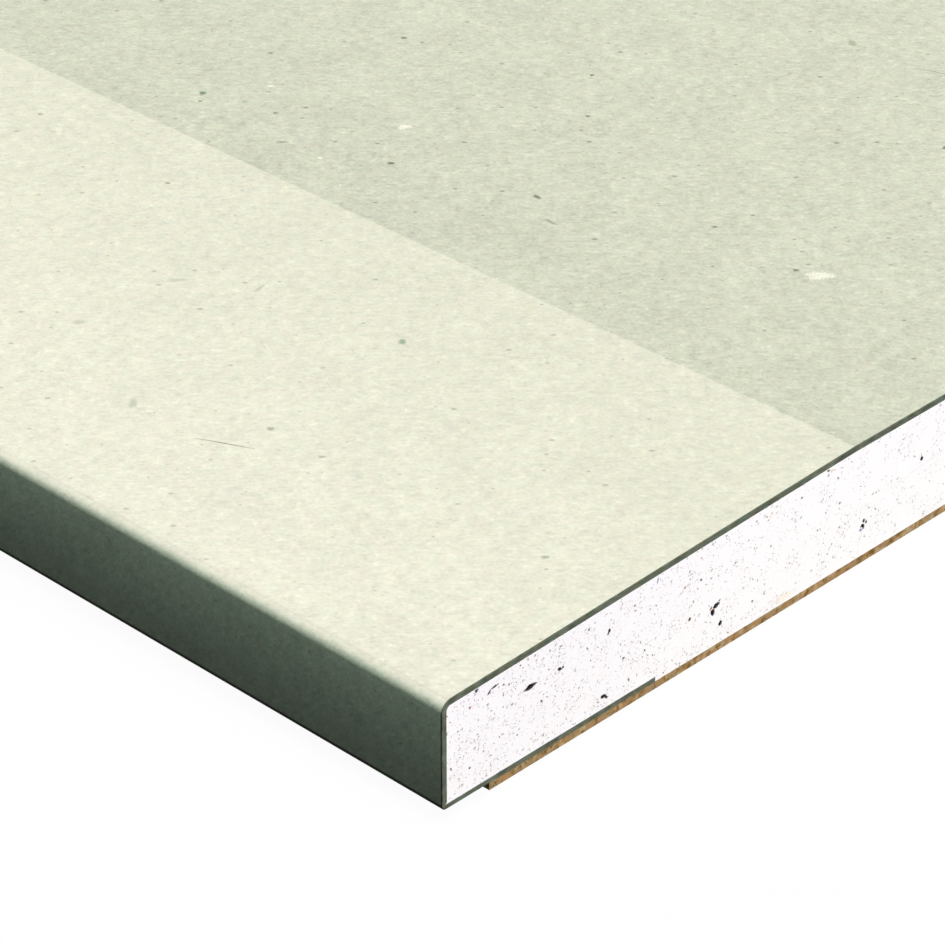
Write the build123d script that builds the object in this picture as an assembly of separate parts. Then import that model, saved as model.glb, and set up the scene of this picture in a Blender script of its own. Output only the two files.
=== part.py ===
from build123d import *
import os

# A tapered-edge drywall sheet: a gypsum core, a face paper that wraps its long edges, and a back
# paper. Millimetres. X runs along the board, Y across it and Z up through it. The board lies on its
# back, with the origin under its middle. Each section is drawn with its first axis across the board
# and its second axis up, then run along the board.

# Board
length = 2400.0
width = 1200.0
thickness = 12.5

# Papers
face_paper_thickness = 0.55
back_paper_thickness = 0.65
lap_width = 25.4
back_paper_inset = 5.4

# Long edges
taper_width = 50.0
taper_depth = 1.5
shoulder_radius = 1.1
crease_radius = 0.05


def wrapped_section():
    """Everything inside the face paper's outer side: tapers, round shoulders and tight folds."""
    edge = width / 2
    shoulder = thickness - taper_depth
    fold = back_paper_thickness
    outline = Polyline(
        (-edge, fold),
        (edge, fold),
        (edge, shoulder),
        (edge - taper_width, thickness),
        (taper_width - edge, thickness),
        (-edge, shoulder),
        close=True,
    )
    section = make_face(outline.edges())
    lowest_corners = section.vertices().group_by(Axis.Y)[0]
    section = fillet(lowest_corners, crease_radius + face_paper_thickness)
    corners_under_tapers = section.vertices().group_by(Axis.Y)[-2]
    return fillet(corners_under_tapers, shoulder_radius)


def core_section(wrapped):
    """One paper thickness inside the wrap, and down to the back paper between the two laps."""
    inside = offset(wrapped, amount=-face_paper_thickness, kind=Kind.INTERSECTION)
    between_laps = Rectangle(
        width - 2 * lap_width,
        face_paper_thickness,
        align=(Align.CENTER, Align.MIN),
    )
    return inside + Pos(0, back_paper_thickness) * between_laps


def back_paper_section():
    """A flat strip under the core and the two laps."""
    return Rectangle(
        width - 2 * back_paper_inset,
        back_paper_thickness,
        align=(Align.CENTER, Align.MIN),
    )


def board_length_of(section):
    """The section run along the board, from one cut end to the other."""
    return extrude(Plane.YZ * section, length / 2, both=True)


def main():
    wrapped = wrapped_section()
    core = core_section(wrapped)
    sections = {
        "gypsum_core": core,
        "face_paper": wrapped - core,
        "back_paper": back_paper_section(),
    }
    os.makedirs("parts", exist_ok=True)
    for name, section in sections.items():
        export_step(board_length_of(section), f"parts/{name}.step")


main()
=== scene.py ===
import math

import bmesh
import bpy
from mathutils import Matrix, Vector, noise


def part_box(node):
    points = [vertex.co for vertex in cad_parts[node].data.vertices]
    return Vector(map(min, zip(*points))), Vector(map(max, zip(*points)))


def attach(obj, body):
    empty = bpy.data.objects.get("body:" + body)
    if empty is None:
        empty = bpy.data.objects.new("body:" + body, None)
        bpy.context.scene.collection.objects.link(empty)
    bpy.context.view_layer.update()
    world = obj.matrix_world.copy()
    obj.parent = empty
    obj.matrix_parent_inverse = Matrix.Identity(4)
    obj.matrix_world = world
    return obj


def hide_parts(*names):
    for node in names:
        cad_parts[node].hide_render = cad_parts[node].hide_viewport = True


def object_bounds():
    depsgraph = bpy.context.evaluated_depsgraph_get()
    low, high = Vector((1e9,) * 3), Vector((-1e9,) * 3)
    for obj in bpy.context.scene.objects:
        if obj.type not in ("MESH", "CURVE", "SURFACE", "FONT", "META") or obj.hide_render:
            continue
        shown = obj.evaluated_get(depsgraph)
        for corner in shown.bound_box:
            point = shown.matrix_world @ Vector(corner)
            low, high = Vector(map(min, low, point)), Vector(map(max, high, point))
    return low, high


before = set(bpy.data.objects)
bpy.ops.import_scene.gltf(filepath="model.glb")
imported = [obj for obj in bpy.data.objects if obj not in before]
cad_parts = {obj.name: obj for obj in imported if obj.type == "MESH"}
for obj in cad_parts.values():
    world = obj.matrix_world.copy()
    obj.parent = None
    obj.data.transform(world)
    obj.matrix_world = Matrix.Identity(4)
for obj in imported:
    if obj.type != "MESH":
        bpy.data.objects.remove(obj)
CAD_LOW, CAD_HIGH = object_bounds()

bl_info = {
    "name": "Drywall sheet",
    "version": (1, 0, 0),
    "blender": (4, 5, 0),
    "location": "View3D > Sidebar > Sheet",
    "description": "Makes the papers, core and surface marks of a tapered-edge drywall sheet",
    "category": "Object",
}

MM = 0.001
WRAP_LOW, WRAP_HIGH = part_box("face_paper")
CORE_LOW, CORE_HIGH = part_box("gypsum_core")
BACKING_LOW, BACKING_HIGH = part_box("back_paper")

# Paper at the cut swells by this much past its thickness in the CAD model.
CUT_SWELL = 0.10 * MM

# Degrees from the board's length at which the fibres of the face paper lie.
FIBRE_WAY = 44

# Shifts that keep patterns of one size from falling in with each other.
APART = (3.1, 1.7, 0.0)
FARTHER = (5.3, 2.9, 0.0)


def tint(red, green, blue):
    """A colour written as 0 to 255 screen values, as the linear values that a material takes."""

    def linear(value):
        share = value / 255
        return share / 12.92 if share <= 0.04045 else ((share + 0.055) / 1.055) ** 2.4

    return (linear(red), linear(green), linear(blue))


def number_property(name, description, default, **options):
    return bpy.props.FloatProperty(name=name, description=description, default=default, **options)


def length_property(name, description, default):
    return number_property(name, description, default, unit="LENGTH", precision=5)


def vector_property(name, description, default, **options):
    return bpy.props.FloatVectorProperty(
        name=name, description=description, default=default, size=3, **options
    )


def colour_property(name, description, default):
    return vector_property(name, description, default, min=0.0, max=1.0, subtype="COLOR")


class SheetSizes(bpy.types.PropertyGroup):
    """Sizes of the sheet and its layers."""

    length: length_property("Length", "Along the long edges", CAD_HIGH.x - CAD_LOW.x)
    width: length_property("Width", "Across the board", CAD_HIGH.y - CAD_LOW.y)
    thickness: length_property("Thickness", "Between the tapers", CAD_HIGH.z - CAD_LOW.z)
    face_paper: length_property(
        "Face paper", "Thickness over the front at the cut", WRAP_HIGH.z - CORE_HIGH.z + CUT_SWELL
    )
    side_paper: length_property("Side paper", "Thickness down the long edges", 0.615 * MM)
    lap_paper: length_property("Lap paper", "Thickness of the lap, pressed under the core", 0.46 * MM)
    fold_paper: length_property("Fold paper", "Thickness round the fold", 0.5 * MM)
    back_paper: length_property("Back paper", "Its thickness", BACKING_HIGH.z - BACKING_LOW.z)
    back_inset: length_property(
        "Back paper inset", "From a long edge to the back paper", BACKING_LOW.y - WRAP_LOW.y
    )
    lap: length_property("Lap", "Face paper under the board, from the long edge", 25.1 * MM)
    taper: length_property("Taper width", "Sloping margin beside a long edge", 50 * MM)
    taper_depth: length_property("Taper depth", "Drop of the margin at the long edge", 1.5 * MM)
    shoulder: length_property("Shoulder radius", "Rounding at the top of a long edge", 1.1 * MM)
    fold: length_property("Fold radius", "Rounding at the foot of a long edge", 0.52 * MM)


class FacePaperFinish(bpy.types.PropertyGroup):
    """Colours and marks of the face paper."""

    field: colour_property("Field", "Paper between the tapers", tint(216, 219, 197))
    # Painted highlight: the edge and margin colours paint the tapers lighter than the field, lightest at
    # the long edges, for light on their slope.
    edge: colour_property("Edge", "Paper at the long edges", tint(240, 239, 219))
    margin: colour_property("Margin", "Paper on the tapers, beside the field", tint(233, 233, 212))
    cut: colour_property("Cut edge", "Grey-green plies in the cut edge", tint(102, 110, 94))
    cut_dark: colour_property("Cut edge dark", "Dark plies in the cut edge", tint(76, 86, 71))
    fleck_density: number_property("Flecks", "Flecks on each square metre", 1500, min=0)
    hair_density: number_property("Hairs", "Loose dark fibres on each square metre", 260, min=0)


class CoreFinish(bpy.types.PropertyGroup):
    """Colours and voids of the gypsum core."""

    plaster: colour_property("Plaster", "Set gypsum", tint(253, 255, 254))
    hard_edge: colour_property("Hard edge", "Denser gypsum by the long edges", tint(250, 251, 252))
    # Painted shade: the void colours darken the white gypsum inside the voids, more the deeper in.
    void: colour_property("Void", "Inside of an air void", tint(28, 25, 28))
    void_lip_shade: colour_property("Void lip", "Shallow parts of an air void", tint(132, 126, 130))
    void_spacing: length_property("Void spacing", "Least distance between voids", 4.2 * MM)
    void_smallest: length_property("Smallest void", "Length of the smallest void", 0.25 * MM)
    void_largest: length_property("Largest void", "Length of the largest void", 1.5 * MM)
    grain_density: number_property(
        "Grains", "Coloured grains on each square metre of cut end", 60000, min=0
    )


class BackPaperFinish(bpy.types.PropertyGroup):
    """Colours of the back paper."""

    brown: colour_property("Brown", "Main colour", tint(160, 133, 92))
    dark: colour_property("Dark", "Dark fibres", tint(116, 90, 44))
    pale: colour_property("Pale", "Pale fibres", tint(180, 159, 120))
    dark_under_lap: colour_property("Stained", "Its edge where it touches the lap", tint(112, 107, 82))


class StageSettings(bpy.types.PropertyGroup):
    """Camera, lamps and floor."""

    lens: number_property("Lens", "Focal length", 147.357, unit="CAMERA")
    azimuth: number_property("Azimuth", "Turn of the camera round the sheet", 44.1972)
    elevation: number_property("Elevation", "Height of the camera above the horizon", 31.5916)
    stand: vector_property(
        "Stand",
        "Camera's place, from the near corner of the face paper's fold",
        (172.358 * MM, -173.759 * MM, 181.799 * MM),
        subtype="TRANSLATION",
    )
    lamp_colour: colour_property("Lamp colour", "Colour of the lamps", (1.0, 0.919, 0.941))
    sky: colour_property("Sky", "Soft light from all round", (0.184, 0.250, 0.232))
    floor_glow: number_property(
        "Floor glow", "Brightness of the floor in its own shadow", 0.955, min=0.0, subtype="FACTOR"
    )


def is_vector(value):
    """True for a vector or a colour, made by nodes or plain, and False for a number."""
    if isinstance(value, Value):
        return value.socket.type in ("VECTOR", "RGBA")
    return isinstance(value, tuple)


class Value:
    """What a node gives out: a number, vector, colour or mesh, which takes plain maths."""

    def __init__(self, recipe, socket):
        self.recipe = recipe
        self.socket = socket

    def __add__(self, other):
        return self.recipe.maths("ADD", self, other)

    def __sub__(self, other):
        return self.recipe.maths("SUBTRACT", self, other)

    def __rsub__(self, other):
        return self.recipe.maths("SUBTRACT", other, self)

    def __mul__(self, other):
        if is_vector(self) == is_vector(other):
            return self.recipe.maths("MULTIPLY", self, other)
        vector, factor = (self, other) if is_vector(self) else (other, self)
        inputs = {0: vector, "Scale": factor}
        return self.recipe.value("ShaderNodeVectorMath", inputs, operation="SCALE")

    def __truediv__(self, other):
        return self.recipe.maths("DIVIDE", self, other)

    def __abs__(self):
        return self.recipe.maths("ABSOLUTE", self)

    def __lt__(self, other):
        return self.recipe.maths("LESS_THAN", self, other)

    def __gt__(self, other):
        return self.recipe.maths("GREATER_THAN", self, other)

    def split(self):
        """The three parts of a vector or colour."""
        node = self.recipe.add("ShaderNodeSeparateXYZ", {0: self})
        return [Value(self.recipe, socket) for socket in node.outputs]

    def between(self, low, high, at_low=0.0, at_high=1.0):
        """Rises smoothly from at_low to at_high while the value goes from low to high."""
        inputs = {"Value": self, "From Min": low, "From Max": high, "To Min": at_low, "To Max": at_high}
        return self.recipe.value("ShaderNodeMapRange", inputs, interpolation_type="SMOOTHSTEP")

    def mix(self, first, second):
        """The first colour where the value is 0 and the second where it is 1."""
        inputs = {0: self, 6: first, 7: second}
        return self.recipe.value("ShaderNodeMix", inputs, 2, data_type="RGBA", blend_type="MIX")

    def ramp(self, stops, interpolation="LINEAR"):
        """Colours at stops, each a place from 0 to 1 and a colour."""
        node = self.recipe.add("ShaderNodeValToRGB", {0: self})
        node.color_ramp.interpolation = interpolation
        elements = node.color_ramp.elements
        while len(elements) < len(stops):
            elements.new(1.0)
        for element, (place, colour) in zip(elements, stops):
            element.position = place
            element.color = (*colour, 1.0)
        return Value(self.recipe, node.outputs[0])

    def curve(self, *stops, top=1.0):
        """A ramp through stops of a place from 0 to 1 and a level, or three levels, up to the top."""
        rows = [(place, [level / top for level in (levels * 3)[:3]]) for place, *levels in stops]
        return self.ramp(rows) * top

    def palette(self, *colours):
        """One of several colours, chosen by a value from 0 to 1."""
        rows = [(number / len(colours), colour) for number, colour in enumerate(colours)]
        return self.ramp(rows, "CONSTANT")

    def turned(self, angle):
        """A place turned about Z, by an angle in radians."""
        inputs = {"Vector": self, "Angle": angle}
        return self.recipe.value("ShaderNodeVectorRotate", inputs, rotation_type="Z_AXIS")

    def stretched(self, degrees, ratio):
        """A place turned in its plane and squeezed, so that a pattern lies along that direction."""
        return self.turned(math.radians(-degrees)) * (1 / ratio, 1.0, 1.0)

    def clouds(self, output, size, detail, roughness, dimensions):
        inputs = {"Vector": self, "Scale": 1 / size, "Detail": detail, "Roughness": roughness}
        return self.recipe.value("ShaderNodeTexNoise", inputs, output, noise_dimensions=dimensions)

    def mottling(self, size, detail=2.0, roughness=0.5, dimensions="2D", apart=None):
        """Soft random variation of about the given size in metres, from -1 to 1 round 0."""
        place = self if apart is None else self + apart
        clouds = place.clouds(0, size, detail, roughness, dimensions)
        return self.recipe.maths("MULTIPLY_ADD", clouds, 2.0, -1.0)

    def wobble(self, size, detail, roughness=0.5, dimensions="2D"):
        """A random shift of half a metre at most each way, to be scaled."""
        return self.clouds("Color", size, detail, roughness, dimensions) - (0.5, 0.5, 0.5)

    def cells(self, size):
        """Random cells of the given size: place in the cell, distance to its middle, three draws."""
        scaled = self * (1 / size)
        inputs = {"Vector": scaled, "Scale": 1.0}
        node = self.recipe.add("ShaderNodeTexVoronoi", inputs, voronoi_dimensions="2D")
        names = ("Position", "Distance", "Color")
        middle, distance, draws = (Value(self.recipe, node.outputs[name]) for name in names)
        return scaled - middle, distance, draws.split()

    def specks(self, size, smallest, largest, share):
        """Round specks, at most one in each cell: how far a place is in one, and three draws."""
        _, distance, draws = self.cells(size)
        radius = draws[0] * draws[0] * ((largest - smallest) / size) + smallest / size
        inside = distance.between(radius * 0.45, radius, 1.0, 0.0)
        return inside * (draws[1] < share), draws

    def fibres(self, size, width, share, bend):
        """Bent strands, at most one in each cell: 1 on a strand and 0 off it."""
        local, _, draws = self.cells(size)
        along, across, _ = local.turned(draws[0] * (2 * math.pi)).split()
        curved = along * along * (draws[2] * (2 * bend) - bend) + across
        half_width = width / size / 2
        on_line = abs(curved).between(half_width * 0.3, half_width, 1.0, 0.0)
        in_reach = abs(along).between(0.22, 0.42, 1.0, 0.0)
        return on_line * in_reach * (draws[1] < share)


class Recipe:
    """A node tree with short ways to add nodes to it and to join them."""

    def __init__(self, tree):
        self.tree = tree

    def feed(self, socket, value):
        """Joins a socket to what a node gives out, or sets it to a plain value."""
        if isinstance(value, Value):
            self.tree.links.new(value.socket, socket)
        elif socket.type == "RGBA" and len(value) == 3:
            socket.default_value = (*value, 1.0)
        else:
            socket.default_value = value

    def add(self, kind, inputs=None, **settings):
        """Adds one node, with its settings and what goes into its sockets."""
        node = self.tree.nodes.new(kind)
        for name, value in settings.items():
            setattr(node, name, value)
        for name, value in (inputs or {}).items():
            self.feed(node.inputs[name], value)
        return node

    def value(self, kind, inputs=None, output=0, **settings):
        """Adds one node and gives back one of its outputs."""
        return Value(self, self.add(kind, inputs, **settings).outputs[output])

    def maths(self, operation, *values, clamp=False):
        """Maths on numbers or, part by part, on vectors and colours."""
        if any(is_vector(value) for value in values):
            node = self.add("ShaderNodeVectorMath", operation=operation)
        else:
            node = self.add("ShaderNodeMath", operation=operation, use_clamp=clamp)
        for socket, value in zip(node.inputs, values):
            self.feed(socket, value)
        return Value(self, node.outputs[0])

    def joined(self, x, y, z=0.0):
        return self.value("ShaderNodeCombineXYZ", {0: x, 1: y, 2: z})

    def add_up(self, *terms, total=1.0):
        """A total, 1 at first, plus each (pattern, weight) term."""
        for pattern, weight in terms:
            total = self.maths("MULTIPLY_ADD", pattern, weight, total)
        return total

    def hue(self, *terms):
        """White shifted by each term: a pattern with its weights for red, green and blue."""
        channels = []
        for channel in range(3):
            weighed = [(pattern, weights[channel]) for pattern, *weights in terms if weights[channel]]
            channels.append(self.add_up(*weighed))
        return self.joined(*channels)

    def body(self):
        """The place on the piece."""
        return self.value("ShaderNodeTexCoord", output="Object")

    def paper_run(self):
        """The place on the face paper: along and across the flat sheet, or along and into its cut."""
        return self.value("ShaderNodeUVMap", uv_map="paper_run")


def emptied(owner):
    """The recipe of a material or world whose first nodes are taken out."""
    owner.use_nodes = True
    owner.node_tree.nodes.clear()
    return Recipe(owner.node_tree)


def new_material(name):
    """An empty material and the recipe that fills it."""
    material = bpy.data.materials.new(name)
    return material, emptied(material)


def finish_material(recipe, colour, roughness, specular, relief=None, depth=0.0):
    """Ends a recipe in a rough shader with the colour, gloss and relief that it is given."""
    inputs = {"Base Color": colour, "Roughness": roughness, "Specular IOR Level": specular}
    if relief is not None:
        bump = {"Height": relief, "Distance": depth, "Strength": 1.0}
        inputs["Normal"] = recipe.value("ShaderNodeBump", bump)
    shader = recipe.value("ShaderNodeBsdfPrincipled", inputs)
    recipe.add("ShaderNodeOutputMaterial", {"Surface": shader})


def side_top(sizes):
    """The height at which a long edge starts to round into its shoulder."""
    return sizes.thickness - sizes.taper_depth - sizes.shoulder


def paper_tone(recipe, sizes, finish, body):
    """The face paper's plain colour with the tapers painted lighter as a painted highlight, its painted
    shade down the long edges and painted light and shade round the shoulders, and where the margins are.
    """
    x, y, z = body.split()
    across = abs(y)
    half = sizes.width / 2
    boundary = half - sizes.taper
    soft = 0.06 * MM
    on_margin = across.between(boundary - soft, boundary + soft)
    # Painted highlight: the tapers are painted lighter than the field, lightest at the long edges.
    margin = across.between(boundary, half - 4 * MM).mix(tuple(finish.margin), tuple(finish.edge))
    field = across.between(boundary - 35 * MM, boundary, 1.0, 0.975) * tuple(finish.field)
    height = sizes.thickness / MM
    # Painted shade: the long edges are darkened towards the floor, with a near-black painted line at the
    # fold along their foot.
    edge_painted_shade = (z / sizes.thickness).curve(
        (0.9 / height, 0.03),
        (1.2 / height, 0.05),
        (1.33 / height, 0.43),
        (3.0 / height, 0.48),
        (5.0 / height, 0.60),
        (7.0 / height, 0.73),
        (9.0 / height, 0.88),
        (10.0 / height, 1.0),
    )
    side = side_top(sizes)
    up_the_shoulder = recipe.maths("DIVIDE", z - side, sizes.shoulder, clamp=True)
    # Painted light and shade round each shoulder: a thin darker line where it starts, a painted
    # highlight part way round, then painted shade, tinted green, lower down.
    shoulder_painted_light = (recipe.maths("ARCCOSINE", up_the_shoulder) / (math.pi / 2)).curve(
        (0.0, 1.0),
        (0.03, 0.915),
        (0.08, 0.935),
        (0.165, 1.02),
        (0.31, 1.10, 1.10, 1.09),
        (0.42, 1.11, 1.12, 1.12),
        (0.51, 1.06, 1.10, 1.08),
        (0.58, 0.97, 1.05, 1.01),
        (0.67, 0.89, 0.98, 0.93),
        (0.76, 0.80, 0.90, 0.85),
        (0.85, 0.70, 0.79, 0.74),
        (0.90, 0.71, 0.77, 0.73),
        (0.945, 0.76, 0.81, 0.76),
        (1.0, 0.93, 0.95, 0.93),
        top=1.2,
    )
    reach = sizes.length / 2
    # Painted shadow: a thin dark line down each long edge just by the cut end.
    end_shadow_line = abs(x).between(reach - 0.09 * MM, reach)
    down_the_side = z.between(side, side + 0.8 * sizes.shoulder, 1.0, 0.0)
    # All the painted light and shade on the face paper, to multiply its colour: the long edges' painted
    # shade, the painted shadow by the cut end and the shoulders' painted light and shade.
    shade = edge_painted_shade * (1 - end_shadow_line * down_the_side) * shoulder_painted_light
    return on_margin.mix(field, margin), shade, on_margin


def paper_colour(recipe, sizes, finish, run, body):
    """The face paper's colour and relief, from the place along and across it and the height."""
    # shade is the painted light and shade from paper_tone.
    base, shade, on_margin = paper_tone(recipe, sizes, finish, body)
    height = body.split()[2]
    side = side_top(sizes)
    on_side = height.between(side - 0.5 * MM, side + 0.5 * MM, 1.0, 0.0)
    fine = run.stretched(FIBRE_WAY, 1.15).mottling(0.34 * MM, roughness=0.55)
    stroke = run.stretched(FIBRE_WAY, 2.1).mottling(0.48 * MM, detail=1.0)
    pale_stroke = stroke.between(0.24, 0.42)
    dark_stroke = stroke.between(-0.42, -0.24, 1.0, 0.0)
    middle = run.mottling(1.4 * MM, detail=1.0)
    cloud = run.mottling(6 * MM, detail=0.0)
    broad = run.mottling(160 * MM, detail=1.0)
    warmth = run.mottling(1.4 * MM, detail=0.0, apart=APART) * (on_side * 0.7 + 1)
    blueness = run.mottling(1.6 * MM, detail=0.0, apart=FARTHER)
    along_fibres = run.stretched(FIBRE_WAY, 1.6)
    strand = along_fibres.fibres(1.7 * MM, 0.17 * MM, 0.6, 1.4)
    large_speck, _ = along_fibres.specks(2.5 * MM, 0.09 * MM, 0.24 * MM, 0.30)
    small_speck, draws = along_fibres.specks(1.1 * MM, 0.06 * MM, 0.14 * MM, 0.42)
    pale_or_dark = (draws[2] > 0.5) * 2 - 1
    pattern = recipe.add_up(
        (fine, 0.11),
        (middle, 0.085),
        (cloud, 0.04),
        (broad, 0.03),
        (pale_stroke, 0.075),
        (dark_stroke, -0.070),
        (strand, 0.05),
        (large_speck * (1 - on_side * 0.7), -0.30),
        (small_speck * pale_or_dark, 0.14),
        total=0.0,
    )
    contrast = recipe.add_up((on_margin, -0.42), (on_side, 0.55), total=1.33)
    hue = recipe.hue((warmth, 0.019, -0.007, 0), (blueness, 0, 0, 0.018))
    return base * hue * (pattern * contrast + 1) * shade, fine


def face_paper_material(sizes, finish):
    """Pale recycled paper, painted lighter on the tapers as a painted highlight, with painted light and
    shade round the shoulders and painted shade down the long edges.
    """
    material, recipe = new_material("face_paper")
    colour, relief = paper_colour(recipe, sizes, finish, recipe.paper_run(), recipe.body())
    finish_material(recipe, colour, 0.9, 0.12, relief, 0.012 * MM)
    return material


def cut_paper_material(sizes, finish):
    """The paper's cut edge: grey-green plies along the cut, with painted shadow darkening them where
    they meet the board's side.
    """
    material, recipe = new_material("face_paper_cut")
    run = recipe.paper_run()
    along, depth, _ = run.split()
    _, y, z = recipe.body().split()
    streak = recipe.joined(along * 0.16, depth).mottling(0.13 * MM, detail=1.0)
    grain = run.mottling(0.22 * MM, roughness=0.6)
    patch = run.mottling(1.3 * MM, detail=1.0)
    olive = run.mottling(1.3 * MM, apart=APART)
    dark_share = recipe.maths("ADD", grain * 0.8, streak * 0.9 + 0.38, clamp=True)
    base = dark_share.mix(tuple(finish.cut), tuple(finish.cut_dark))
    rim = depth.between(0.0, 0.24 * MM, 1.0, 0.0)
    side = side_top(sizes)
    low = z.between(side, side + 0.8 * sizes.shoulder, 1.0, 0.0)
    on_side = (abs(y) > sizes.width / 2 - 0.3 * MM) * low
    on_top = z.between(side + 0.5 * sizes.shoulder, side + sizes.shoulder)
    # Painted shadow: the cut's rim is darkened to black where it meets the board's side; it is lighter
    # where it meets the top.
    tone = recipe.add_up((grain, 0.36), (patch, 0.52), (rim * on_side, -1.0), (rim * on_top, 0.50))
    hue = recipe.hue((olive, 0.15, 0, -0.30), (low, 0.022, 0.022, 0.045))
    relief = recipe.add_up((streak, 0.5), (grain, 0.5))
    finish_material(recipe, base * hue * tone, 0.95, 0.05, relief, 0.03 * MM)
    return material


def plaster_colour(recipe, sizes, finish, body):
    """The core's colour and relief: near-white gypsum with clusters of fine coloured specks."""
    _, y, z = body.split()
    place = recipe.joined(y, z)
    half = sizes.width / 2
    inner = abs(y).between(half - 8 * MM, half - 46 * MM)
    warped = place + place.wobble(0.55 * MM, 2.0, 0.65) * (0.75 * MM)
    fine = place.mottling(0.11 * MM, roughness=0.6)
    cluster = place.mottling(2.2 * MM)
    warmth = place.mottling(0.7 * MM, detail=1.0, apart=APART)
    height = z.between(sizes.back_paper, sizes.thickness, -0.014, 0.008)
    white = inner.mix(tuple(finish.hard_edge), tuple(finish.plaster))
    hue = recipe.hue((warmth, 0, -0.012, -0.028), (cluster, 0, -0.010, -0.014), (height, 0, 0, 1.0))
    ground = white * hue * recipe.add_up((fine, 0.025), (cluster, -0.012))

    crowding = cluster.between(-0.42, 0.42, 0.25, 0.76) - inner * 0.24
    faint, draws = warped.specks(0.25 * MM, 0.03 * MM, 0.10 * MM, crowding)
    faint_colour = draws[2].palette(
        tint(172, 168, 173), tint(180, 170, 175), tint(154, 150, 156), tint(178, 177, 163)
    )
    speckled = (faint * 0.8).mix(ground, faint_colour)
    small, draws = warped.specks(0.46 * MM, 0.04 * MM, 0.115 * MM, crowding)
    small_colour = draws[2].palette(
        tint(112, 108, 112),
        tint(84, 82, 88),
        tint(130, 124, 120),
        tint(158, 146, 154),
        tint(116, 118, 108),
        tint(146, 128, 114),
    )
    return (small * (draws[0] * 0.7 + 0.35)).mix(speckled, small_colour), fine


def plaster_material(sizes, finish):
    """Near-white set gypsum with fine coloured specks."""
    material, recipe = new_material("gypsum")
    colour, relief = plaster_colour(recipe, sizes, finish, recipe.body())
    finish_material(recipe, colour, 0.95, 0.08, relief, 0.015 * MM)
    return material


def void_shade_material(sizes, finish):
    """The inside of an air void, with painted shade: grey gypsum at its lip and dark further in."""
    material, recipe = new_material("gypsum_void")
    body = recipe.body()
    grain = body.mottling(0.14 * MM, dimensions="3D")
    depth = sizes.length / 2 - abs(body.split()[0])
    share = (grain * (0.06 * MM) + depth).between(0.015 * MM, 0.11 * MM)
    colour = share.mix(tuple(finish.void_lip_shade), tuple(finish.void)) * (grain * 0.6 + 1)
    finish_material(recipe, colour, 1.0, 0.0, grain, 0.02 * MM)
    return material


def back_paper_material(sizes, finish):
    """Brown recycled paper, mottled with dark and pale fibres, darker along its top where it touches the
    lap.
    """
    material, recipe = new_material("back_paper")
    body = recipe.body()
    _, y, z = body.split()
    coarse = body.mottling(0.8 * MM, roughness=0.55, dimensions="3D")
    fine = body.mottling(0.24 * MM, roughness=0.6, dimensions="3D")
    broad = body.mottling(90 * MM, dimensions="3D")
    rust = body.mottling(1.2 * MM, detail=1.0, dimensions="3D", apart=(1.0, 4.0, 3.0))
    pale = body.mottling(0.55 * MM, detail=1.0, dimensions="3D", apart=(3.0, 1.0, 2.0))
    strand = body.fibres(2.2 * MM, 0.2 * MM, 0.7, 1.2)
    dark_share = (fine * 0.4 + coarse).between(-0.12, 0.34)
    pale_share = (pale - fine * 0.3).between(0.0, 0.42)
    base = pale_share.mix(dark_share.mix(tuple(finish.brown), tuple(finish.dark)), tuple(finish.pale))
    tone = recipe.add_up((fine, 0.16), (broad, 0.06), (strand, 0.08))
    plain = base * recipe.hue((rust, 0.17, -0.07, -0.38)) * tone
    # Darker along the back paper's top under the lap.
    under_lap = abs(y) > sizes.width / 2 - sizes.lap
    top = sizes.back_paper
    lap_darkening = (fine * (0.12 * MM) + z).between(top - 0.17 * MM, top, 0.0, 0.8)
    colour = (under_lap * lap_darkening).mix(plain, tuple(finish.dark_under_lap))
    relief = recipe.add_up((fine, 0.6), (coarse, 0.4))
    finish_material(recipe, colour, 0.92, 0.1, relief, 0.03 * MM)
    return material


def mark_material(name, ground=None):
    """A mark's own colour, which fades raggedly into the colour round it."""
    material, recipe = new_material(name)
    body = recipe.body()
    grain = body.mottling(0.17 * MM, detail=1.0, dimensions="3D")
    own = recipe.value("ShaderNodeAttribute", output="Color", attribute_name="mark_colour")
    colour = own * (grain * 0.25 + 1)
    if ground is not None:
        strength = recipe.value("ShaderNodeAttribute", output="Fac", attribute_name="mark_strength")
        colour = (grain * 0.5 + strength).between(0.08, 0.62).mix(ground(recipe, body), colour)
    finish_material(recipe, colour, 0.9, 0.1)
    return material


def finished_mesh(made, name):
    """The mesh of a bmesh that is then freed."""
    mesh = bpy.data.meshes.new(name)
    made.to_mesh(mesh)
    made.free()
    return mesh


def new_piece(name, mesh):
    """Puts a finished mesh in the scene as a piece, or as the floor."""
    mesh.name = name
    piece = bpy.data.objects.new(name, mesh)
    bpy.context.scene.collection.objects.link(piece)
    return piece


def arc_points(centre_y, centre_z, radius, start, end, steps):
    """Points of an arc with their outward directions, angles in degrees from +Y towards +Z."""
    for step in range(steps + 1):
        angle = math.radians(start + (end - start) * step / steps)
        way = (math.cos(angle), math.sin(angle))
        yield (centre_y + radius * way[0], centre_z + radius * way[1], *way)


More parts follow.
